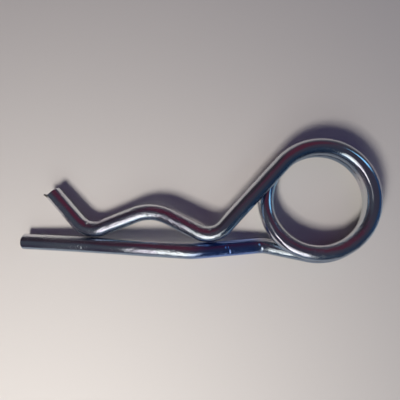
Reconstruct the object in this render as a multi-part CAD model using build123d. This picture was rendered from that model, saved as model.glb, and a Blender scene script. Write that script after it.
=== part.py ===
from build123d import *

import os
from math import acos, asin, atan2, cos, degrees, hypot, radians, sin, tan

# Double-coil R clip: one length of round spring wire, bent cold, with two free ends.
# A straight leg goes through the cross hole of a shaft, and a waved arm snaps over the
# shaft. A coil of about one and two thirds turns joins them and is the spring.
#
# The clip lies on its side at rest. The coil's lower turn and the leg's tip touch Z = 0,
# the leg runs along X with its tip towards -X, and the arm is on the leg's +Y side.
# While the path is laid out, X is measured from the leg's tip and Y from the leg's line,
# and heights are those of the wire's centreline. The bends near the coil are measured
# from its near side, the one that faces the leg's tip. Millimetres and degrees throughout.

# ---- wire ----
WIRE_D = 4.0
END_ROUNDING = 0.3        # rim left by the cutting tool on both free ends

# ---- leg ----
TIP_LENGTH = 13.0         # the free end, which enters the shaft's cross hole
TIP_TURN_OUT = 0.7        # the free end leans away from the arm
HIGH_BEND_BACK = 17.9     # from the coil's near side back to where the leg stops rising
HIGH_BEND_RISE = 3.7      # of that bend above the tip
LOW_BEND_PAST = 0.3       # past the coil's near side, where the leg comes from the lower turn
LOW_BEND_Y = 1.85
LEG_BEND_RADIUS = 12.0

# ---- arm ----
TIP_VALLEY_X = 18.3       # lowest point of the valley near the leg's tip
TIP_VALLEY_GAP = 0.12     # between the two wires there
COIL_VALLEY_BACK = 14.5   # from the coil's near side back to the other valley
COIL_VALLEY_GAP = 0.5
HUMP_SLOPE = 24.0         # both flanks of the hump that seats the shaft
KICK_ANGLE = 45.5         # lead-in at the arm's free end
KICK_LENGTH = 13.8        # from the corner of its bend to the cut
TIP_VALLEY_RADIUS = 5.9
COIL_VALLEY_RADIUS = 5.7
HUMP_RADIUS = 10.7
ARM_RISE = 4.4            # slope of the arm's climb towards the coil
ARM_OVER_COIL = 0.95      # of the arm above the upper turn's level, at the coil's near side

# ---- coil ----
COIL_RADIUS = 13.05       # of the upper turn
COIL_X = 74.4
COIL_OFFSET = 1.1         # the upper turn stops this far short of the leg's line
LOWER_TURN_GROWTH = 0.65  # the lower turn is a little larger
LOWER_TURN_SHIFT = (0.95, -0.6)
TURN_GAP = 0.1            # between the two turns, which lie on each other
SETTLE_ANGLE = 110.0      # the upper turn sinks onto the lower one within this angle
DROP_FROM = 264.0         # then the wire drops a level, between these two angles
DROP_TO = 350.0
BEND_STEP = 45.0          # the coil is rolled as arcs of about this angle
ARC_SLACK = 0.1           # straight left at each end of a coil arc

# ---- worked out from the sizes above ----
WIRE_R = WIRE_D / 2
LOWER_LEVEL = WIRE_R
UPPER_LEVEL = LOWER_LEVEL + WIRE_D + TURN_GAP
COIL_Y = COIL_RADIUS + COIL_OFFSET
COIL_NEAR_X = COIL_X - COIL_RADIUS
COIL_VALLEY_X = COIL_NEAR_X - COIL_VALLEY_BACK
HIGH_BEND_X = COIL_NEAR_X - HIGH_BEND_BACK
HIGH_BEND_HEIGHT = LOWER_LEVEL + HIGH_BEND_RISE
LOW_BEND_X = COIL_NEAR_X + LOW_BEND_PAST


def arm_height(x):
    """The arm climbs evenly towards the coil and passes over its near side."""
    return UPPER_LEVEL + ARM_OVER_COIL + tan(radians(ARM_RISE)) * (x - COIL_NEAR_X)


def valley_corner(x, gap, left, right, radius):
    """Corner whose rounded bend has its lowest point at x, a gap above the leg's wire.

    left and right are the slopes of the straights that rise from it.
    """
    half_sum, half_diff = radians(left + right) / 2, radians(left - right) / 2
    lift = radius * (cos(half_diff) / cos(half_sum) - 1)
    shift = radius * sin(half_diff) / cos(half_sum)
    return x - shift, WIRE_D + gap - lift


def tangent_direction(x, y, cx, cy, radius):
    """Direction in plan from (x, y) to where it grazes a circle on its right."""
    dx, dy = cx - x, cy - y
    return degrees(atan2(dy, dx) + asin(radius / hypot(dx, dy)))


def coil_valley():
    """Corner of the valley near the coil, and the direction of the arm's long run.

    Each depends on the other, and a few rounds settle both.
    """
    direction = 50.0
    for _ in range(12):
        x, y = valley_corner(COIL_VALLEY_X, COIL_VALLEY_GAP, HUMP_SLOPE, direction, COIL_VALLEY_RADIUS)
        direction = tangent_direction(x, y, COIL_X, COIL_Y, COIL_RADIUS)
    return x, y, direction


def arm_corners():
    """Free end, valley, hump and valley, with the bend radii, and the long run's direction."""
    x1, y1 = valley_corner(TIP_VALLEY_X, TIP_VALLEY_GAP, KICK_ANGLE, HUMP_SLOPE, TIP_VALLEY_RADIUS)
    x3, y3, direction = coil_valley()
    rise = tan(radians(HUMP_SLOPE))
    x2 = (x1 + x3) / 2 + (y3 - y1) / (2 * rise)
    y2 = y1 + rise * (x2 - x1)
    x0 = x1 - KICK_LENGTH * cos(radians(KICK_ANGLE))
    y0 = y1 + KICK_LENGTH * sin(radians(KICK_ANGLE))
    plan = [(x0, y0), (x1, y1), (x2, y2), (x3, y3)]
    corners = [(x, y, arm_height(x)) for x, y in plan]
    return corners, [TIP_VALLEY_RADIUS, HUMP_RADIUS, COIL_VALLEY_RADIUS], direction


def ease(value, low, high):
    """0 before low, 1 past high, and a straight change between them."""
    return min(max((value - low) / (high - low), 0.0), 1.0)


def coil_height(turned, start_height):
    """Centreline height after the coil has turned this far."""
    settled = start_height + (UPPER_LEVEL - start_height) * ease(turned, 0, SETTLE_ANGLE)
    return settled + (LOWER_LEVEL - settled) * ease(turned, DROP_FROM, DROP_TO)


def lower_turn_angle():
    """Where the leg's low bend grazes the lower turn, seen from that turn's centre."""
    cx, cy = COIL_X + LOWER_TURN_SHIFT[0], COIL_Y + LOWER_TURN_SHIFT[1]
    dx, dy = LOW_BEND_X - cx, LOW_BEND_Y - cy
    radius = COIL_RADIUS + LOWER_TURN_GROWTH
    return degrees(atan2(dy, dx) + acos(radius / hypot(dx, dy)))


def coil_corners(direction):
    """Corners of a many-sided figure drawn round the coil, clockwise from above."""
    start = direction + 90
    total = start - (lower_turn_angle() - 360)
    count = round(total / BEND_STEP)
    step = total / count
    start_height = arm_height(COIL_X + COIL_RADIUS * cos(radians(start)))
    corners = []
    for i in range(count):
        turned = (i + 0.5) * step
        grown = ease(turned, DROP_FROM, DROP_TO)
        reach = (COIL_RADIUS + LOWER_TURN_GROWTH * grown) / cos(radians(step / 2))
        angle = radians(start - turned)
        corners.append((
            COIL_X + LOWER_TURN_SHIFT[0] * grown + reach * cos(angle),
            COIL_Y + LOWER_TURN_SHIFT[1] * grown + reach * sin(angle),
            coil_height(turned, start_height),
        ))
    return corners


def leg_corners():
    """Low bend, high bend, the slight lean of the free end, and the tip."""
    climb = (HIGH_BEND_HEIGHT - LOWER_LEVEL) / HIGH_BEND_X
    lean = radians(TIP_TURN_OUT)
    tip_x = TIP_LENGTH * (1 - cos(lean))
    tip_y = -TIP_LENGTH * sin(lean)
    return [
        (LOW_BEND_X, LOW_BEND_Y, LOWER_LEVEL),
        (HIGH_BEND_X, 0.0, HIGH_BEND_HEIGHT),
        (TIP_LENGTH, 0.0, LOWER_LEVEL + climb * TIP_LENGTH),
        (tip_x, tip_y, LOWER_LEVEL),
    ]


def arc_radius(before, corner, after, before_is_arc, after_is_arc):
    """Largest bend at a corner that leaves its neighbours half of a shared side."""
    a, b = before - corner, after - corner
    room_a = a.length / 2 - ARC_SLACK if before_is_arc else a.length
    room_b = b.length / 2 - ARC_SLACK if after_is_arc else b.length
    turn = 180 - a.get_angle(b)
    return min(room_a, room_b) / tan(radians(turn / 2))


def wire_path():
    """The centreline: straight runs joined by tangent arcs, from the arm's end to the leg's."""
    arm, arm_radii, direction = arm_corners()
    coil = coil_corners(direction)
    leg = leg_corners()
    points = [Vector(*p) for p in arm + coil + leg]
    first, last = len(arm), len(arm) + len(coil) - 1
    coil_radii = [
        arc_radius(points[i - 1], points[i], points[i + 1], i > first, i < last)
        for i in range(first, last + 1)
    ]
    leg_radii = [LEG_BEND_RADIUS] * 3
    return FilletPolyline(*points, radius=arm_radii + coil_radii + leg_radii)


def clip_wire():
    """The whole clip: the wire's round section carried along its centreline."""
    path = wire_path()
    section = Plane(origin=path @ 0, z_dir=path % 0) * Circle(WIRE_R)
    wire = sweep(section, path=path)
    ends = wire.faces().filter_by(GeomType.PLANE)
    return fillet(ends.edges(), END_ROUNDING), path


def set_down(part):
    """Move the origin to the middle of the footprint, on the surface that the clip lies on."""
    box = part.bounding_box()
    middle = box.center()
    return part.moved(Location((-middle.X, -middle.Y, -box.min.Z)))


os.makedirs("parts", exist_ok=True)
body, centreline = clip_wire()
clip = set_down(body)
print(f"wire length {centreline.length:.1f} mm, volume {clip.volume:.1f} mm3,"
      f" section times length {Circle(WIRE_R).area * centreline.length:.1f} mm3")
export_step(clip, "parts/clip_wire.step")
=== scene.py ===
# %% [markdown]
# A spring wire clip.
# The real object is one length of round zinc-plated wire, bent cold into a leg, a double coil and
# a waved arm. Everything here follows from that: one tube along one path, one plated finish, and
# the marks that the drawing die, the bending tools and the cutter left on it.
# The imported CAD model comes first, because it fixes the size and place of all that follows.

import bpy
import numpy as np
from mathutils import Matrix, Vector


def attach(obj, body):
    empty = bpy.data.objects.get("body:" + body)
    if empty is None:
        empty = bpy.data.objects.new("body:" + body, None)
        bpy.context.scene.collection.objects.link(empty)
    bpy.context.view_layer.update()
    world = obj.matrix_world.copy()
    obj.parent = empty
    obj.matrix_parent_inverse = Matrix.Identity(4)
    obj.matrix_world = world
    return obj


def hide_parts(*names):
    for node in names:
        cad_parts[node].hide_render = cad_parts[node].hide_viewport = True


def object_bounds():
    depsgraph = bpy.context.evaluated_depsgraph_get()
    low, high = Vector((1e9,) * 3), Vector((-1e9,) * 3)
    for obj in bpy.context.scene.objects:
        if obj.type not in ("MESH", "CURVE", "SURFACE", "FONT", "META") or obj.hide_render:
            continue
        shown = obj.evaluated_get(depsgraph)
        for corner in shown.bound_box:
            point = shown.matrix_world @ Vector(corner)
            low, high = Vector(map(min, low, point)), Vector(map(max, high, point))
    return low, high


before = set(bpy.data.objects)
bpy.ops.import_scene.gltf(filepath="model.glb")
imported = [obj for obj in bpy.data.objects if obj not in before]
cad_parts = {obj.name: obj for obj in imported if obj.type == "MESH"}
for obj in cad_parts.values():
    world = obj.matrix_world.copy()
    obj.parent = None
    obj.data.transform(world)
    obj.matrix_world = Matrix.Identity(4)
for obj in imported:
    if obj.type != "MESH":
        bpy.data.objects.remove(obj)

cad_low, cad_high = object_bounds()
print("CAD box, mm:", [round(1000 * (b - a), 2) for a, b in zip(cad_low, cad_high)])

# %% [markdown]
# Sizes.
# The wire's path could be read back from the CAD mesh, but a mesh has lost what a bender thinks
# in: bend radii, slopes and lengths. The same driving sizes give the same path, and also the
# distance along the wire, which every mark and every pattern needs. They are in millimetres and
# degrees, and MM turns a length into Blender's metres at the end.

# %% Driving sizes of the wire and its bends
MM = 0.001
WIRE_R = 2.0
LOWER_LEVEL = WIRE_R
UPPER_LEVEL = 3 * WIRE_R + 0.1

TIP_LENGTH = 13.0
TIP_TURN_OUT = 0.7
LEG_BEND_RADIUS = 12.0

TIP_VALLEY_X = 18.3
TIP_VALLEY_GAP = 0.12
COIL_VALLEY_GAP = 0.5
HUMP_SLOPE = 24.0
KICK_ANGLE = 45.5
KICK_LENGTH = 13.8
TIP_VALLEY_RADIUS = 5.9
COIL_VALLEY_RADIUS = 5.7
HUMP_RADIUS = 10.7
ARM_RISE = 4.4
ARM_OVER_COIL = 0.95

COIL_RADIUS = 13.05
COIL_CENTRE = np.array([74.4, COIL_RADIUS + 1.1])
LOWER_TURN_GROWTH = 0.65
LOWER_TURN_SHIFT = np.array([0.95, -0.6])
SETTLE_ANGLE = 110.0
DROP_FROM, DROP_TO = 264.0, 350.0
BEND_STEP = 45.0
ARC_SLACK = 0.1

COIL_NEAR_X = COIL_CENTRE[0] - COIL_RADIUS
COIL_VALLEY_X = COIL_NEAR_X - 14.5
HIGH_BEND = np.array([COIL_NEAR_X - 17.9, 0.0, LOWER_LEVEL + 3.7])
LOW_BEND = np.array([COIL_NEAR_X + 0.3, 1.85, LOWER_LEVEL])


def unit(vectors):
    """Each vector divided by its own length."""
    return vectors / np.linalg.norm(vectors, axis=-1, keepdims=True)


def turned(angle):
    """Unit vector in plan at an angle in degrees from +X."""
    return np.array([np.cos(np.radians(angle)), np.sin(np.radians(angle))])


print("wire", 2 * WIRE_R, "mm thick, coil's near side at", COIL_NEAR_X)

# %% [markdown]
# The arm.
# The waved arm has a lead-in kick, a valley, a hump that seats the shaft, and a second valley.
# Its corners are where the straights would meet if they weren't rounded. A valley's corner is
# placed so that its rounded bottom stands a small gap above the leg. The long run after the
# second valley has to graze the coil, and its direction and that valley depend on each other, so
# a few rounds settle both.


# %% Corners of the waved arm
def valley_corner(x, gap, left, right, radius):
    """Corner of a bend whose lowest point is at x, a gap above the leg's wire.

    Rounding lifts the bottom by radius * (cos(half difference) / cos(half sum) - 1) and moves it
    sideways by radius * sin(half difference) / cos(half sum) of the two slopes.
    """
    half_sum, half_diff = np.radians(left + right) / 2, np.radians(left - right) / 2
    lift = radius * (np.cos(half_diff) / np.cos(half_sum) - 1)
    shift = radius * np.sin(half_diff) / np.cos(half_sum)
    return np.array([x - shift, 2 * WIRE_R + gap - lift])


def grazing_direction(point):
    """Direction from a point to where it grazes the coil, which lies on the right."""
    to_centre = COIL_CENTRE - point
    aside = np.arcsin(COIL_RADIUS / np.linalg.norm(to_centre))
    return np.degrees(np.arctan2(to_centre[1], to_centre[0]) + aside)


def arm_height(x):
    """The arm climbs evenly and passes over the coil's near side."""
    return UPPER_LEVEL + ARM_OVER_COIL + np.tan(np.radians(ARM_RISE)) * (x - COIL_NEAR_X)


tip_valley = valley_corner(TIP_VALLEY_X, TIP_VALLEY_GAP, KICK_ANGLE, HUMP_SLOPE, TIP_VALLEY_RADIUS)
long_run = 50.0
for _ in range(12):
    coil_valley = valley_corner(COIL_VALLEY_X, COIL_VALLEY_GAP, HUMP_SLOPE, long_run, COIL_VALLEY_RADIUS)
    long_run = grazing_direction(coil_valley)
slope = np.tan(np.radians(HUMP_SLOPE))
hump_run = (coil_valley[0] - tip_valley[0]) / 2 + (coil_valley[1] - tip_valley[1]) / (2 * slope)
hump = tip_valley + hump_run * np.array([1.0, slope])
kick_end = tip_valley + KICK_LENGTH * turned(180 - KICK_ANGLE)
arm_plan = np.array([kick_end, tip_valley, hump, coil_valley])
arm = np.column_stack([arm_plan, arm_height(arm_plan[:, 0])])
print("arm corners, mm:", arm.round(2).tolist(), "long run at", round(long_run, 2))

# %% [markdown]
# The coil and the leg.
# A spring coiler makes a helix, but this one is hardly a helix: the upper turn lies flat on the
# lower one, and the wire drops a whole level within a quarter of a turn. So the coil is a
# many-sided figure drawn round its circle, with a height given to each corner, and rounding its
# corners gives a smooth coil. The leg leaves the lower turn, rises to its high bend and comes
# down to its tip, which rests on the surface.


# %% Corners of the coil and the leg
def ease(value, low, high):
    """0 before low, 1 past high, and a straight change between them."""
    return np.clip((value - low) / (high - low), 0.0, 1.0)


start = long_run + 90
lower_centre = COIL_CENTRE + LOWER_TURN_SHIFT
to_bend = LOW_BEND[:2] - lower_centre
tangent_half = np.arccos((COIL_RADIUS + LOWER_TURN_GROWTH) / np.linalg.norm(to_bend))
total = start + 360 - np.degrees(np.arctan2(to_bend[1], to_bend[0]) + tangent_half)
coil_count = round(total / BEND_STEP)
coil_step = total / coil_count
angle = (np.arange(coil_count) + 0.5) * coil_step
grown = ease(angle, DROP_FROM, DROP_TO)
reach = (COIL_RADIUS + LOWER_TURN_GROWTH * grown) / np.cos(np.radians(coil_step / 2))
entry_height = arm_height(COIL_CENTRE[0] + COIL_RADIUS * np.cos(np.radians(start)))
settled = entry_height + (UPPER_LEVEL - entry_height) * ease(angle, 0, SETTLE_ANGLE)
coil = np.column_stack([
    COIL_CENTRE + LOWER_TURN_SHIFT * grown[:, None] + reach[:, None] * turned(start - angle).T,
    settled + (LOWER_LEVEL - settled) * grown,
])
climb = (HIGH_BEND[2] - LOWER_LEVEL) / HIGH_BEND[0]
lean = np.radians(TIP_TURN_OUT)
leg = np.array([
    LOW_BEND,
    HIGH_BEND,
    [TIP_LENGTH, 0.0, LOWER_LEVEL + climb * TIP_LENGTH],
    [TIP_LENGTH * (1 - np.cos(lean)), -TIP_LENGTH * np.sin(lean), LOWER_LEVEL],
])
corners = np.vstack([arm, coil, leg])
print(len(corners), "corners,", coil_count, "of them round the coil")

# %% [markdown]
# The centreline.
# A curve object with a bevel would give a tube at once, but it rounds corners with splines, and
# real bent wire is made of straights and true arcs. So each corner is rounded here by the arc that
# touches both of its sides, and the whole path is a list of points close enough together to read
# any place on it by its distance along the wire.


# %% Rounded path of the whole wire
def arc_points(before, corner, after, radius, count):
    """Points of the arc that touches both sides of a corner.

    It starts and ends radius * tan(half the turn) from the corner. Its centre is on the
    bisector, radius / cos(half the turn) away, and the points turn evenly about it.
    """
    back, ahead = unit(before - corner), unit(after - corner)
    turn = np.pi - np.arccos(back @ ahead)
    reach_back = radius * np.tan(turn / 2)
    centre = corner + unit(back + ahead) * radius / np.cos(turn / 2)
    first = corner + back * reach_back - centre
    last = corner + ahead * reach_back - centre
    share = np.linspace(0, 1, count)[:, None]
    return centre + (np.sin((1 - share) * turn) * first + np.sin(share * turn) * last) / np.sin(turn)


def largest_radius(before, corner, after, before_is_arc, after_is_arc):
    """Largest bend that leaves a neighbouring arc half of the side they share."""
    back, ahead = before - corner, after - corner
    room_back = np.linalg.norm(back) / 2 - ARC_SLACK if before_is_arc else np.linalg.norm(back)
    room_ahead = np.linalg.norm(ahead) / 2 - ARC_SLACK if after_is_arc else np.linalg.norm(ahead)
    turn = np.pi - np.arccos(unit(back) @ unit(ahead))
    return min(room_back, room_ahead) / np.tan(turn / 2)


coil_first, coil_last = len(arm), len(arm) + coil_count - 1
coil_radii = [
    largest_radius(corners[i - 1], corners[i], corners[i + 1], i > coil_first, i < coil_last)
    for i in range(coil_first, coil_last + 1)
]
radii = [TIP_VALLEY_RADIUS, HUMP_RADIUS, COIL_VALLEY_RADIUS, *coil_radii, *[LEG_BEND_RADIUS] * 3]
ARC_POINTS = 160
arcs = [
    arc_points(corners[i], corners[i + 1], corners[i + 2], radius, ARC_POINTS)
    for i, radius in enumerate(radii)
]
rough = np.vstack([corners[:1], *arcs, corners[-1:]])
rough_length = np.append(0, np.cumsum(np.linalg.norm(np.diff(rough, axis=0), axis=1)))
PATH_STEP = 0.05
WIRE_LENGTH = rough_length[-1]
path_length = np.linspace(0, WIRE_LENGTH, round(WIRE_LENGTH / PATH_STEP))
path = np.column_stack([np.interp(path_length, rough_length, rough[:, k]) for k in range(3)])
path_heading = unit(np.gradient(path, axis=0))
print("wire length", round(WIRE_LENGTH, 2), "mm, bend radii", np.round(radii, 2).tolist())

# %% [markdown]
# Marks on the wire.
# Every mark is a shallow dent: so far along the wire, so far round it, this long, this wide and
# this deep. The tools left a nick in both valleys, two at the leg's low bend and three across the
# leg between its bends, a shallow press further along it, and two scratches that cross at the
# coil's bottom. The leg's free end is scuffed, and small dings are scattered all over. All of them
# are shaped into the mesh, because a mirror finish shows a few hundredths of a millimetre.
# Round is an angle from the top of the wire, positive on the left as one walks from the arm's cut
# end to the leg's tip.

# %% Dents, scuffs and ripples
TOOL_DENTS = [
    # along, round, half length, half width, depth, lean: along per degree round
    (12.6, 52.0, 0.40, 24.0, 0.15, 0.0),
    (45.9, 44.0, 0.36, 22.0, 0.14, 0.0),
    (232.1, -20.0, 0.15, 13.0, 0.09, 0.006),
    (231.4, 6.0, 0.15, 30.0, 0.11, -0.004),
    (232.2, 36.0, 0.16, 9.0, 0.08, 0.010),
    (223.2, -17.0, 0.24, 9.0, 0.12, 0.0),
    (222.8, 24.0, 0.26, 24.0, 0.15, -0.006),
    (118.1, 3.0, 0.16, 7.0, 0.06, 0.012),
    (117.0, -2.0, 0.14, 6.0, 0.05, -0.012),
    (250.1, -46.0, 0.90, 7.0, 0.03, 0.0),
]
rng = np.random.default_rng(11)
SCUFF_COUNT, DING_COUNT = 26, 44
SCUFFS = np.column_stack([
    rng.uniform(266.0, 278.5, SCUFF_COUNT),
    rng.normal(6.0, 16.0, SCUFF_COUNT),
    rng.uniform(0.07, 0.16, SCUFF_COUNT),
    rng.uniform(5.0, 14.0, SCUFF_COUNT),
    rng.uniform(0.020, 0.050, SCUFF_COUNT),
    rng.normal(0.0, 0.012, SCUFF_COUNT),
])
DINGS = np.column_stack([
    rng.uniform(2.0, 282.0, DING_COUNT),
    rng.uniform(-180.0, 180.0, DING_COUNT),
    rng.uniform(0.15, 0.45, DING_COUNT),
    rng.uniform(4.0, 10.0, DING_COUNT),
    rng.uniform(0.006, 0.018, DING_COUNT),
    rng.normal(0.0, 0.010, DING_COUNT),
])
ALL_DENTS = np.vstack([TOOL_DENTS, SCUFFS, DINGS])

RIPPLE_FROM, RIPPLE_TO = 78.0, 87.0
RIPPLE_ROUND, RIPPLE_SPREAD = -34.0, 20.0
RIPPLE_PITCH, RIPPLE_DEPTH = 0.62, 0.0045


def angle_between(a, b):
    """Difference of two angles in degrees, brought between -180 and 180."""
    return (a - b + 180) % 360 - 180


def dent_depth(along, round_):
    """Depth of all dents at each place: a sum of soft bells, each as long and wide as its mark."""
    depth = np.zeros(np.broadcast_shapes(along.shape, round_.shape))
    for at, side, half_length, half_width, deep, leaning in ALL_DENTS:
        aside = angle_between(round_, side)
        ahead = (along - at - leaning * aside) / half_length
        depth += deep * np.exp(-(ahead ** 2)) * np.exp(-((aside / half_width) ** 2))
    return depth


def ripple_depth(along, round_):
    """Fine cross ripples where the coil's outside was stretched over the mandrel."""
    window = ease(along, RIPPLE_FROM, RIPPLE_FROM + 2) * ease(along, RIPPLE_TO, RIPPLE_TO - 2)
    bell = np.exp(-((angle_between(round_, RIPPLE_ROUND) / RIPPLE_SPREAD) ** 2))
    return RIPPLE_DEPTH * window * bell * (1 + np.cos(2 * np.pi * along / RIPPLE_PITCH))


print(len(ALL_DENTS), "dents, the deepest", ALL_DENTS[:, 4].max(), "mm")

# %% [markdown]
# Rings along the wire.
# The tube is a grid: rings along the path, points round each ring. Even rings fine enough for a
# nick would waste most of their triangles on plain wire, so the rings stand closer together where
# there is something to show. Their spacing is a density along the wire, and adding the density up
# gives each ring's number, which is then read backwards.

# %% Ring places
PLAIN_SPACING, FINE_SPACING = 0.42, 0.09
FINE_REACH = 0.45
ROUND_COUNT = 64
FINE_SHARE = 0.75
tool_dents_at = np.array(TOOL_DENTS)[None, :, 0]
fine = np.exp(-(((path_length[:, None] - tool_dents_at) / FINE_REACH) ** 2)).max(axis=1)
for stretch_from, stretch_to in ((266, 278), (RIPPLE_FROM, RIPPLE_TO)):
    stretch = ease(path_length, stretch_from - 1, stretch_from) \
        * ease(path_length, stretch_to + 1, stretch_to)
    fine = np.maximum(fine, FINE_SHARE * stretch)
density = 1 / PLAIN_SPACING + (1 / FINE_SPACING - 1 / PLAIN_SPACING) * fine
ring_number = np.cumsum(density) * (path_length[1] - path_length[0])
ring_number -= ring_number[0]

END_ROUNDING = 0.30
ring_total = int(ring_number[-1])
ring_at = np.interp(np.linspace(0, ring_number[-1], ring_total), ring_number, path_length)
ring_at = ring_at[(ring_at > END_ROUNDING) & (ring_at < WIRE_LENGTH - END_ROUNDING)]
print(len(ring_at), "rings of", ROUND_COUNT, "points")

# %% [markdown]
# The two cut ends.
# The wire was sheared, not sawn. A shear presses the rim over, leaves a slightly uneven face and,
# on the side where the blade came out, a thin burr. The leg's end is plain. The arm's end keeps
# its burr, a curled lip nearly a millimetre long. Each end is a few more rings, given by a radius
# and an inset from the cut, which a lip makes negative for part of the way round.

# %% Ring profiles of the cut ends
round_angle = np.arange(ROUND_COUNT) * 360.0 / ROUND_COUNT
BURR_LENGTH, BURR_ROUND, BURR_SPREAD = 0.92, -58.0, 20.0
BURR_REACH = np.array([0.76, 1.04, 1.12, 1.03])[:, None]
BURR_PULL = np.array([0.55, 1.0, 0.93, 0.45])[:, None]
LOBES_SHARE = 0.4
FACE_STEPS = np.array([0.25, 0.5, 0.72, 0.84])
CORNER_STEPS = np.radians([0.0, 22.5, 45.0, 67.5])


def end_profile(burr_length, unevenness, phase):
    """Radius and inset of each end ring, from the middle of the cut outwards, per point round.

    The face steps out to the rim and is uneven by a tilt and three slow lobes. The rim is a quarter
    circle. A burr pulls the rim's rings out of the cut by a bell round the wire, and curls them
    outwards to its own radii.
    """
    radians_round = np.radians(round_angle)[None, :]
    face_r = FACE_STEPS[:, None] * WIRE_R
    face_inset = unevenness * (1 + np.cos(radians_round + phase) * FACE_STEPS[:, None])
    lobes = np.cos(3 * radians_round + 2 * phase) * FACE_STEPS[:, None]
    face_inset = face_inset + LOBES_SHARE * unevenness * lobes
    rim_r = (WIRE_R - END_ROUNDING * (1 - np.sin(CORNER_STEPS)))[:, None]
    rim_inset = (END_ROUNDING * (1 - np.cos(CORNER_STEPS)))[:, None]
    bell = np.exp(-((angle_between(round_angle, BURR_ROUND) / BURR_SPREAD) ** 2))[None, :]
    rim_inset = rim_inset - burr_length * BURR_PULL * bell
    rim_r = rim_r + (BURR_REACH * WIRE_R - rim_r) * bell * (burr_length > 0)
    rim_shape = (len(CORNER_STEPS), ROUND_COUNT)
    radius = np.vstack([np.repeat(face_r, ROUND_COUNT, axis=1), np.broadcast_to(rim_r, rim_shape)])
    inset = np.vstack([face_inset, np.broadcast_to(rim_inset, rim_shape)])
    return radius, inset


arm_end_r, arm_end_inset = end_profile(BURR_LENGTH, 0.05, 0.6)
leg_end_r, leg_end_inset = end_profile(0.0, 0.06, 2.4)
burr_stands = -arm_end_inset.min().round(2)
print("each cut end has", len(arm_end_r), "rings, the burr stands", burr_stands, "mm proud")

# %% [markdown]
# The tube's surface.
# At each ring the path's heading gives a level direction to its left and a direction to its top,
# so the angle round the wire means the same all the way and never twists. A point is then
# centre + radius * (left * sin(angle) + top * cos(angle)). The wire is never quite round or
# straight, so slow waves of about a hundredth of a millimetre are added to the radius, which is
# what makes a mirror finish look like metal and not like glass. The radius gives up a little
# first, to leave room for the waves inside the CAD box.


# %% Surface of the tube
WAVES = ((31.0, 2, 0.012), (17.0, 3, 0.006), (9.5, 1, 0.006), (5.3, 2, 0.0032), (2.9, 4, 0.0012))
WAVE_ROOM = 0.015


def wave(along, round_):
    """Slow unevenness of a drawn and bent wire: a few waves along it, each with its own lobes."""
    total_wave = np.zeros(np.broadcast_shapes(along.shape, round_.shape))
    wave_rng = np.random.default_rng(5)
    for pitch, lobes, size in WAVES:
        shift_along, shift_round = wave_rng.uniform(0, 2 * np.pi, 2)
        total_wave += size * np.sin(2 * np.pi * along / pitch + shift_along) * np.cos(
            lobes * np.radians(round_) + shift_round)
    return total_wave


def surface(along, radius, round_):
    """Points on the wire: the centre there plus the radius towards the angle from its top."""
    centre = np.stack([np.interp(along, path_length, path[:, k]) for k in range(3)], axis=-1)
    heading = np.stack([np.interp(along, path_length, path_heading[:, k]) for k in range(3)], axis=-1)
    heading = unit(heading)
    beyond = np.minimum(along, 0) + np.maximum(along - WIRE_LENGTH, 0)
    left = unit(np.cross([0.0, 0.0, 1.0], heading))
    top = np.cross(heading, left)
    turn = np.radians(round_)[..., None]
    outwards = left * np.sin(turn) + top * np.cos(turn)
    return centre + heading * beyond[..., None] + radius[..., None] * outwards


body_along = np.repeat(ring_at[:, None], ROUND_COUNT, axis=1)
body_round = np.broadcast_to(round_angle, body_along.shape)
body_r = WIRE_R - WAVE_ROOM + wave(body_along, body_round) - dent_depth(body_along, body_round) \
    - ripple_depth(body_along, body_round)
along = np.vstack([arm_end_inset, body_along, WIRE_LENGTH - leg_end_inset[::-1]])
radius = np.vstack([arm_end_r, body_r, leg_end_r[::-1]])
rounds = np.broadcast_to(round_angle, along.shape)
grid = surface(along, radius, rounds)
print("grid of", grid.shape[:2], "points")

# %% [markdown]
# From grid to mesh.
# Neighbouring rings are joined by four-sided faces, worked out for the whole grid at once, and the
# last point of a ring joins its first, so there is no seam. One point closes the middle of each
# cut face. The mesh is laid on the CAD box by the middle of its footprint. Each point also keeps
# its place on the wire before it was bent, so that a pattern drawn there follows every bend.


# %% Build the mesh
def tube_faces(ring_count):
    """Quads between neighbouring rings, and a fan of triangles at each end. All face inwards."""
    ring, spoke = np.meshgrid(np.arange(ring_count - 1), np.arange(ROUND_COUNT), indexing="ij")
    here = ring * ROUND_COUNT + spoke
    beside = ring * ROUND_COUNT + (spoke + 1) % ROUND_COUNT
    quads = np.stack([here, beside, beside + ROUND_COUNT, here + ROUND_COUNT], axis=-1).reshape(-1, 4)
    spokes = np.arange(ROUND_COUNT)
    next_spokes = (spokes + 1) % ROUND_COUNT
    last = (ring_count - 1) * ROUND_COUNT
    first_pole, last_pole = ring_count * ROUND_COUNT, ring_count * ROUND_COUNT + 1
    near = np.stack([np.full(ROUND_COUNT, first_pole), next_spokes, spokes], axis=-1)
    far = np.stack([np.full(ROUND_COUNT, last_pole), last + spokes, last + next_spokes], axis=-1)
    return quads, np.vstack([near, far])


ring_count = len(grid)
poles = surface(np.array([arm_end_inset[0].mean(), WIRE_LENGTH - leg_end_inset[0].mean()]),
                np.zeros(2), np.zeros(2))
points = np.vstack([grid.reshape(-1, 3), poles])
footprint = (points.min(axis=0) + points.max(axis=0)) / 2
cad_middle = (np.array(cad_low) + np.array(cad_high)) / 2 / MM
points = points + np.array([cad_middle[0] - footprint[0], cad_middle[1] - footprint[1], 0.0])
quads, fans = tube_faces(ring_count)

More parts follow.
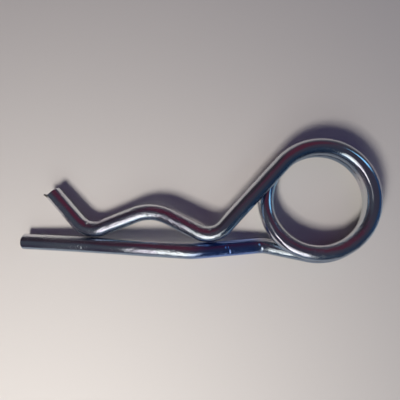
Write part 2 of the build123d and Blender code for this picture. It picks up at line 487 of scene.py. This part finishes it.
mesh = bpy.data.meshes.new("spring_wire")
mesh.vertices.add(len(points))
mesh.vertices.foreach_set("co", (points * MM).astype(np.float32).ravel())
loops = np.concatenate([quads.ravel(), fans.ravel()])
mesh.loops.add(len(loops))
mesh.loops.foreach_set("vertex_index", loops.astype(np.int32))
sizes = np.concatenate([np.full(len(quads), 4), np.full(len(fans), 3)])
mesh.polygons.add(len(sizes))
mesh.polygons.foreach_set("loop_start", np.append(0, np.cumsum(sizes)[:-1]).astype(np.int32))
mesh.polygons.foreach_set("use_smooth", np.ones(len(sizes), bool))
mesh.update(calc_edges=True)
mesh.validate()
spring_wire = bpy.data.objects.new("spring_wire", mesh)
bpy.context.scene.collection.objects.link(spring_wire)
print(len(points), "points,", 2 * len(quads) + len(fans), "triangles")

# %% Give each point its place on the unbent wire
turn = np.radians(rounds)
unbent = np.stack([along, radius * np.sin(turn), radius * np.cos(turn)], axis=-1).reshape(-1, 3)
unbent = np.vstack([unbent, [[0, 0, 0], [WIRE_LENGTH, 0, 0]]])
place = mesh.attributes.new("unbent_place", "FLOAT_VECTOR", "POINT")
place.data.foreach_set("vector", (unbent * MM).astype(np.float32).ravel())
print("unbent wire runs to", unbent[:, 0].max().round(1), "mm")

# %% [markdown]
# Unrolling the wire flat.
# A baked texture needs a flat map of the surface. A tube unrolls into a ribbon over twenty times
# longer than it is wide, which would waste nearly all of a square. Cut into five equal lengths
# laid side by side, it fills the square, and no part of it is stretched.

# %% Lay the unrolled surface out as five strips
STRIP_COUNT = 5
STRIP_FILL = 0.96
meridian = np.append(radius[0, 0], radius[0, 0] + np.cumsum(
    np.hypot(np.diff(along.mean(axis=1)), np.diff(radius.mean(axis=1)))))
meridian_total = meridian[-1] + radius[-1, 0]
strip_length = meridian_total / STRIP_COUNT


def strip_uv(along_surface, share_round):
    """Place on the map: how far along its strip, and the strip's number plus the share of a turn."""
    strip = np.minimum(along_surface.mean(axis=-1, keepdims=True) // strip_length, STRIP_COUNT - 1)
    u = along_surface / strip_length - strip
    v = (strip + 0.5 + STRIP_FILL * (share_round - 0.5)) / STRIP_COUNT
    return np.stack([0.5 + STRIP_FILL * (u - 0.5), v], axis=-1)


spokes = np.arange(ROUND_COUNT)
quad_ring = np.repeat(np.arange(ring_count - 1), ROUND_COUNT)
quad_spoke = np.tile(spokes, ring_count - 1)
quad_along = meridian[quad_ring[:, None] + np.array([0, 0, 1, 1])]
quad_share = (quad_spoke[:, None] + np.array([0, 1, 1, 0])) / ROUND_COUNT
fan_along = np.vstack([
    np.stack([np.zeros(ROUND_COUNT), *[np.full(ROUND_COUNT, meridian[0])] * 2], axis=-1),
    np.stack([np.full(ROUND_COUNT, meridian_total), *[np.full(ROUND_COUNT, meridian[-1])] * 2], axis=-1),
])
fan_share = np.vstack([
    np.stack([spokes + 0.5, spokes + 1, spokes], axis=-1),
    np.stack([spokes + 0.5, spokes, spokes + 1], axis=-1),
]) / ROUND_COUNT
flat_map = np.vstack([
    strip_uv(quad_along, quad_share).reshape(-1, 2),
    strip_uv(fan_along, fan_share).reshape(-1, 2),
])
uv_layer = mesh.uv_layers.new(name="OFBake")
uv_layer.data.foreach_set("uv", flat_map.astype(np.float32).ravel())
print("map spans", flat_map.min(axis=0).round(3), "to", flat_map.max(axis=0).round(3))

# %% [markdown]
# Marks that are too fine for the mesh.
# Drawing pulls wire through a die, which leaves fine lines along it, and plating adds a faint
# mottle of its own. Both the plated surface and the bare cut faces have them, each to its own
# measure, so they are one node group. It reads the unbent place, so the lines run along the wire
# through every bend.


# %% Node group for drawing lines and mottle
def new_group(name, inputs, outputs):
    """A shader node group. Inputs are (name, type, default) and outputs are (name, type)."""
    group = bpy.data.node_groups.new(name, "ShaderNodeTree")
    for socket_name, socket_type, default in inputs:
        socket = group.interface.new_socket(socket_name, in_out="INPUT", socket_type=socket_type)
        if default is not None:
            socket.default_value = default
    for socket_name, socket_type in outputs:
        group.interface.new_socket(socket_name, in_out="OUTPUT", socket_type=socket_type)
    return group


def add(tree, kind, **settings):
    """A new node of a kind, with its settings."""
    node = tree.nodes.new(kind)
    for key, value in settings.items():
        setattr(node, key, value)
    return node


def stretched_noise(tree, place_socket, per_metre, detail):
    """Noise whose grain has so many cells per metre along and across the wire."""
    scaled = add(tree, "ShaderNodeVectorMath", operation="MULTIPLY")
    scaled.inputs[1].default_value = per_metre
    tree.links.new(place_socket, scaled.inputs[0])
    noise = add(tree, "ShaderNodeTexNoise", noise_dimensions="3D")
    noise.inputs["Scale"].default_value = 1.0
    noise.inputs["Detail"].default_value = detail
    tree.links.new(scaled.outputs[0], noise.inputs["Vector"])
    return noise.outputs["Fac"]


def ramp(tree, value_socket, low, high):
    """0 where the value is at or below low, 1 where it is at or past high, smooth between."""
    node = add(tree, "ShaderNodeMapRange", interpolation_type="SMOOTHSTEP")
    node.inputs["From Min"].default_value = low
    node.inputs["From Max"].default_value = high
    tree.links.new(value_socket, node.inputs["Value"])
    return node.outputs["Result"]


def product(tree, first, second):
    """Two masks multiplied."""
    node = add(tree, "ShaderNodeMath", operation="MULTIPLY")
    for socket, value in zip(node.inputs, (first, second)):
        if isinstance(value, float):
            socket.default_value = value
        else:
            tree.links.new(value, socket)
    return node.outputs[0]


LINES_PER_METRE = (55.0, 6000.0, 6000.0)
MOTTLE_PER_METRE = (650.0, 1700.0, 1700.0)
PATCHES_PER_METRE = (75.0, 240.0, 240.0)
drawn_marks = new_group(
    "drawn_marks",
    [("Place", "NodeSocketVector", None), ("Line Height", "NodeSocketFloat", 0.5),
     ("Mottle Height", "NodeSocketFloat", 0.5)],
    [("Height", "NodeSocketFloat"), ("Lines", "NodeSocketFloat"), ("Mottle", "NodeSocketFloat")],
)
group_in = add(drawn_marks, "NodeGroupInput")
group_out = add(drawn_marks, "NodeGroupOutput")
lines = stretched_noise(drawn_marks, group_in.outputs["Place"], LINES_PER_METRE, 3.0)
mottle = stretched_noise(drawn_marks, group_in.outputs["Place"], MOTTLE_PER_METRE, 3.0)
patches = stretched_noise(drawn_marks, group_in.outputs["Place"], PATCHES_PER_METRE, 1.0)
patches = ramp(drawn_marks, patches, 0.36, 0.58)
patchy_mottle = product(drawn_marks, mottle, patches)
line_height = add(drawn_marks, "ShaderNodeMath", operation="MULTIPLY")
both_heights = add(drawn_marks, "ShaderNodeMath", operation="MULTIPLY_ADD")
drawn_marks.links.new(lines, line_height.inputs[0])
drawn_marks.links.new(group_in.outputs["Line Height"], line_height.inputs[1])
drawn_marks.links.new(patchy_mottle, both_heights.inputs[0])
drawn_marks.links.new(group_in.outputs["Mottle Height"], both_heights.inputs[1])
drawn_marks.links.new(line_height.outputs[0], both_heights.inputs[2])
drawn_marks.links.new(both_heights.outputs[0], group_out.inputs["Height"])
drawn_marks.links.new(lines, group_out.inputs["Lines"])
drawn_marks.links.new(patchy_mottle, group_out.inputs["Mottle"])
print("group", drawn_marks.name, "has", len(drawn_marks.nodes), "nodes")

# %% [markdown]
# Zinc plating.
# Bright zinc with a clear blue passivation is a mirror with a cold cast. The passivation is a film
# thinner than a wavelength of light, so its tint drifts between steel blue and violet. On the leg
# near its low bend a deep blue is painted all round the wire, a painted reflection of blue light.
# The sides that face -Y and +X are painted darker and bluer, a painted shade with a painted blue
# reflection, set by which way the surface faces. It is a plain metal here: the colour carries the
# film and these painted tints, and the roughness rises with the mottle and in the scuffs.


# %% Material for the plated wire
def window(tree, value_socket, rise_from, rise_to, fall_from, fall_to):
    """1 between two places on the wire, given in millimetres, with a soft edge at each."""
    rise = ramp(tree, value_socket, rise_from * MM, rise_to * MM)
    fall = ramp(tree, value_socket, fall_to * MM, fall_from * MM)
    return product(tree, rise, fall)


def mix_colour(tree, mask, first, second):
    """first where the mask is 0 and second where it is 1. Each is a colour or a socket."""
    node = add(tree, "ShaderNodeMix", data_type="RGBA")
    tree.links.new(mask, node.inputs[0])
    for socket, value in ((node.inputs[6], first), (node.inputs[7], second)):
        if isinstance(value, tuple):
            socket.default_value = (*value, 1.0)
        else:
            tree.links.new(value, socket)
    return node.outputs[2]


def wire_material(name):
    """A metal material and what the others hang on: its tree, its shader, and the unbent place."""
    material = bpy.data.materials.new(name)
    material.use_nodes = True
    tree = material.node_tree
    shader = tree.nodes["Principled BSDF"]
    shader.inputs["Metallic"].default_value = 1.0
    place_node = add(tree, "ShaderNodeAttribute", attribute_name="unbent_place")
    return material, tree, shader, place_node.outputs["Vector"]


def add_marks(tree, place_socket, shader, line_height_value, mottle_height_value, bump_depth):
    """The drawing lines and mottle as a bump of so many metres, and the group's node."""
    marks = add(tree, "ShaderNodeGroup", node_tree=drawn_marks)
    marks.inputs["Line Height"].default_value = line_height_value
    marks.inputs["Mottle Height"].default_value = mottle_height_value
    tree.links.new(place_socket, marks.inputs["Place"])
    bump = add(tree, "ShaderNodeBump")
    bump.inputs["Strength"].default_value = 1.0
    bump.inputs["Distance"].default_value = bump_depth
    tree.links.new(marks.outputs["Height"], bump.inputs["Height"])
    tree.links.new(bump.outputs["Normal"], shader.inputs["Normal"])
    return marks


DRIFT_PER_METRE = (90.0, 260.0, 260.0)
STEEL_BLUE = (0.70, 0.73, 0.75)
VIOLET_FILM = (0.66, 0.63, 0.70)
PAINTED_BLUE_REFLECTION = (0.17, 0.30, 0.72)
LEG_REFLECTION_SHARE, SIDE_PAINTED_SHADE_SHARE = 0.85, 0.92
# Sides painted darker and bluer by which way they face: painted shade and painted blue reflection.
SIDE_PAINTED_SHADES = [
    # towards, where the painted shade starts and is full, its painted colour
    ((0.94, -0.34, 0.0), 0.45, 0.72, (0.16, 0.44, 0.70)),
    ((0.09, -0.996, 0.0), 0.39, 0.66, (0.22, 0.30, 0.41)),
]
zinc_plate, zinc_tree, zinc, zinc_place = wire_material("zinc_plate")
zinc_marks = add_marks(zinc_tree, zinc_place, zinc, 0.04, 0.96, 1.1e-4)
drift = stretched_noise(zinc_tree, zinc_place, DRIFT_PER_METRE, 2.0)
film_and_painted_shade = mix_colour(zinc_tree, ramp(zinc_tree, drift, 0.42, 0.66), STEEL_BLUE, VIOLET_FILM)
distance_along = add(zinc_tree, "ShaderNodeSeparateXYZ")
zinc_tree.links.new(zinc_place, distance_along.inputs[0])
# A deep blue painted all round the leg near its low bend: a painted blue reflection.
leg_painted_reflection = window(zinc_tree, distance_along.outputs["X"], 221.0, 226.0, 236.0, 243.0)
leg_painted_reflection = product(zinc_tree, leg_painted_reflection, LEG_REFLECTION_SHARE)
surface_normal = add(zinc_tree, "ShaderNodeTexCoord").outputs["Normal"]
# Each side that faces one of these ways gets its painted shade mixed into the film colour.
for side, shade_from, shade_full, side_shade_colour in SIDE_PAINTED_SHADES:
    facing_side = add(zinc_tree, "ShaderNodeVectorMath", operation="DOT_PRODUCT")
    facing_side.inputs[1].default_value = side
    zinc_tree.links.new(surface_normal, facing_side.inputs[0])
    side_shade_mask = ramp(zinc_tree, facing_side.outputs["Value"], shade_from, shade_full)
    side_shade_mask = product(zinc_tree, side_shade_mask, SIDE_PAINTED_SHADE_SHARE)
    film_and_painted_shade = mix_colour(zinc_tree, side_shade_mask, film_and_painted_shade, side_shade_colour)
zinc_tree.links.new(mix_colour(zinc_tree, leg_painted_reflection, film_and_painted_shade, PAINTED_BLUE_REFLECTION), zinc.inputs["Base Color"])

SMOOTHEST, ROUGHEST, SCUFFED_EXTRA = 0.13, 0.27, 0.10
roughness = add(zinc_tree, "ShaderNodeMapRange")
roughness.inputs["From Min"].default_value = 0.05
roughness.inputs["From Max"].default_value = 0.65
roughness.inputs["To Min"].default_value = SMOOTHEST
roughness.inputs["To Max"].default_value = ROUGHEST
zinc_tree.links.new(zinc_marks.outputs["Mottle"], roughness.inputs["Value"])
scuffed = window(zinc_tree, distance_along.outputs["X"], 265.0, 268.0, 277.0, 280.0)
scuffed = product(zinc_tree, scuffed, SCUFFED_EXTRA)
rougher = add(zinc_tree, "ShaderNodeMath", operation="ADD")
zinc_tree.links.new(roughness.outputs["Result"], rougher.inputs[0])
zinc_tree.links.new(scuffed, rougher.inputs[1])
zinc_tree.links.new(rougher.outputs[0], zinc.inputs["Roughness"])
print("zinc plate:", len(zinc_tree.nodes), "nodes")

# %% [markdown]
# Sheared faces.
# The cut faces are bare steel torn by the shear, and the arm's burr has begun to tarnish to an
# olive brown. They are the same metal without its film, so they share the group and differ in
# colour and roughness. Which faces they are follows from the grid: the first and last rings,
# and the few rings of the burr on its side of the wire.

# %% Material for the cut faces, and giving both out
TORN_STEEL = (0.30, 0.29, 0.27)
TARNISH = (0.16, 0.15, 0.09)
TORN_ROUGHNESS = 0.42
BURR_WIDTHS = 1.2
sheared_steel, sheared_tree, sheared, sheared_place = wire_material("sheared_steel")
sheared_marks = add_marks(sheared_tree, sheared_place, sheared, 0.2, 0.8, 1.2e-5)
sheared.inputs["Roughness"].default_value = TORN_ROUGHNESS
tarnished = ramp(sheared_tree, sheared_marks.outputs["Mottle"], 0.4, 0.6)
sheared_tree.links.new(
    mix_colour(sheared_tree, tarnished, TORN_STEEL, TARNISH), sheared.inputs["Base Color"])

mesh.materials.append(zinc_plate)
mesh.materials.append(sheared_steel)
face_rings = len(FACE_STEPS) + 1
on_faces = (quad_ring < face_rings) | (quad_ring >= ring_count - 1 - len(FACE_STEPS))
on_burr = (quad_ring < len(arm_end_r)) & (
    np.abs(angle_between(round_angle[quad_spoke], BURR_ROUND)) < BURR_WIDTHS * BURR_SPREAD)
material_of_quad = on_faces | on_burr
material_index = np.concatenate([material_of_quad, np.ones(len(fans), bool)]).astype(np.int32)
mesh.polygons.foreach_set("material_index", material_index)
mesh.update()
print(int(material_index.sum()), "faces are sheared steel")

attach(spring_wire, "root")
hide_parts("clip_wire")

# %% [markdown]
# Floor.
# The clip lies on a sheet of plain paper, which is also half of what a mirror finish shows. A
# pale matt plane is enough, wide enough to reach the horizon from any side.

# %% Paper floor
FLOOR_HALF = 2.5
PAPER = (0.655, 0.63, 0.605)
floor_mesh = bpy.data.meshes.new("paper")
floor_mesh.from_pydata(
    [(-FLOOR_HALF, -FLOOR_HALF, 0), (FLOOR_HALF, -FLOOR_HALF, 0), (FLOOR_HALF, FLOOR_HALF, 0),
     (-FLOOR_HALF, FLOOR_HALF, 0)], [], [(0, 1, 2, 3)])
floor = bpy.data.objects.new("paper", floor_mesh)
bpy.context.scene.collection.objects.link(floor)
paper = bpy.data.materials.new("paper")
paper.use_nodes = True
paper.node_tree.nodes["Principled BSDF"].inputs["Base Color"].default_value = (*PAPER, 1.0)
paper.node_tree.nodes["Principled BSDF"].inputs["Roughness"].default_value = 0.9
paper.node_tree.nodes["Principled BSDF"].inputs["Specular IOR Level"].default_value = 0.2
floor_mesh.materials.append(paper)
print("paper", 2 * FLOOR_HALF, "m wide")

# %% [markdown]
# Light.
# A mirror shows its surroundings, so lighting it means placing what it mirrors. One small soft
# lamp stands close by on the left and gives the shadows. Seen in the plating it would burn out to
# a hard white bar, so mirror rays pass it by, as with a shoot-through screen in a studio, and dim
# panels give the long bright streaks: a narrow one beside the lamp with a dimmer tail, a wide one
# lower down with a dimmer edge, and a blue one on the right for the cold glints on the coil. A
# large weak lamp overhead, also unseen by mirror rays, turns the shadows violet. Above hangs a dim
# room: wine red on the far side, navy on the near right, and a paler horizon.


# %% Lamps
def soft_lamp(name, place_mm, size_mm, radiance, colour, turn=None):
    """A lamp whose power is radiance times pi times its area.

    With no turn it is aimed at the clip's middle. With one, it faces straight down, turned so far.
    """
    light = bpy.data.lights.new(name, "AREA")
    light.shape = "RECTANGLE"
    light.size, light.size_y = size_mm[0] * MM, size_mm[1] * MM
    light.energy = radiance * np.pi * light.size * light.size_y
    light.color = colour
    lamp = bpy.data.objects.new(name, light)
    lamp.location = [c * MM for c in place_mm]
    if turn is None:
        lamp.rotation_euler = (-lamp.location).to_track_quat("-Z", "Y").to_euler()
    else:
        lamp.rotation_euler = (0.0, 0.0, np.radians(turn))
    lamp.visible_camera = False
    bpy.context.scene.collection.objects.link(lamp)
    return lamp


key_lamp = soft_lamp("key_lamp", (-60, -98, 152), (44, 44), 46.0, (1.0, 0.955, 0.885))
fill_lamp = soft_lamp("fill_lamp", (40, 60, 400), (300, 300), 0.17, (0.08, 0.02, 1.0))
panels = [
    soft_lamp("narrow_panel", (-60, -122, 160), (28, 108), 2.2, (1.0, 1.0, 0.99), 0.0),
    soft_lamp("narrow_panel_tail", (-60, -38, 160), (24, 60), 0.42, (1.0, 1.0, 1.0), 0.0),
    soft_lamp("wide_panel", (-8, -262, 160), (168, 190), 1.85, (0.97, 1.0, 0.99), 0.0),
    soft_lamp("wide_panel_edge", (14, -128, 160), (116, 72), 0.8, (0.97, 1.0, 0.99), 0.0),
    soft_lamp("blue_panel", (245, 100, 160), (170, 40), 1.5, (0.25, 0.66, 1.0), 18.0),
]
for unseen in (key_lamp, fill_lamp):
    unseen.visible_glossy = False
print([(lamp.name, round(lamp.data.energy, 4)) for lamp in (key_lamp, fill_lamp, *panels)], "watts")

# %% Dim room
ROOM = (0.045, 0.043, 0.066)
HORIZON = (0.125, 0.125, 0.142)
ROOM_PATCHES = [
    # towards +X turning to +Y, down from overhead, half width, colour
    (90.0, 44.0, 40.0, (0.086, 0.022, 0.043)),
    (200.0, 42.0, 32.0, (0.060, 0.068, 0.090)),
    (140.0, 60.0, 28.0, (0.030, 0.024, 0.034)),
    (270.0, 80.0, 24.0, (0.220, 0.250, 0.300)),
    (322.0, 72.0, 52.0, (0.017, 0.034, 0.068)),
    (2.0, 74.0, 26.0, (0.020, 0.060, 0.150)),
]
world = bpy.data.worlds.new("room")
bpy.context.scene.world = world
world.use_nodes = True
room = world.node_tree
direction = add(room, "ShaderNodeTexCoord").outputs["Generated"]
split = add(room, "ShaderNodeSeparateXYZ")
room.links.new(direction, split.inputs[0])
near_horizon = ramp(room, split.outputs["Z"], np.sin(np.radians(20.0)), 0.0)
colour = mix_colour(room, near_horizon, ROOM, HORIZON)
for azimuth, zenith, half_width, patch_colour in ROOM_PATCHES:
    facing = add(room, "ShaderNodeVectorMath", operation="DOT_PRODUCT")
    room.links.new(direction, facing.inputs[0])
    tilt = np.radians(zenith)
    facing.inputs[1].default_value = (*(turned(azimuth) * np.sin(tilt)), np.cos(tilt))
    edge, core = np.cos(np.radians(half_width)), np.cos(np.radians(half_width / 3))
    mask = ramp(room, facing.outputs["Value"], edge, core)
    colour = mix_colour(room, mask, colour, patch_colour)
room.links.new(colour, room.nodes["Background"].inputs["Color"])
print("room of", len(ROOM_PATCHES), "patches")

# %% [markdown]
# Camera.
# The clip is seen from straight above and from very close, nearer than it is long, through a wide
# lens, which is what makes the coil look larger than the flat parts. The picture is turned a
# little, so the leg runs slightly downhill to the right.

# %% Camera over the clip
CAMERA_HEIGHT = 80.6
CAMERA_OVER = (-0.58, -0.80)
FIELD_OF_VIEW = 66.8
PICTURE_TURN = 2.8
camera_data = bpy.data.cameras.new("camera")
camera_data.sensor_width = 36.0
camera_data.lens = camera_data.sensor_width / 2 / np.tan(np.radians(FIELD_OF_VIEW / 2))
camera_data.clip_start = 0.001
camera = bpy.data.objects.new("camera", camera_data)
camera.location = [c * MM for c in (*CAMERA_OVER, CAMERA_HEIGHT)]
camera.rotation_euler = (0.0, 0.0, np.radians(PICTURE_TURN))
bpy.context.scene.collection.objects.link(camera)
bpy.context.scene.camera = camera
bpy.context.scene.view_settings.view_transform = "Standard"
print("lens", round(camera_data.lens, 2), "mm")
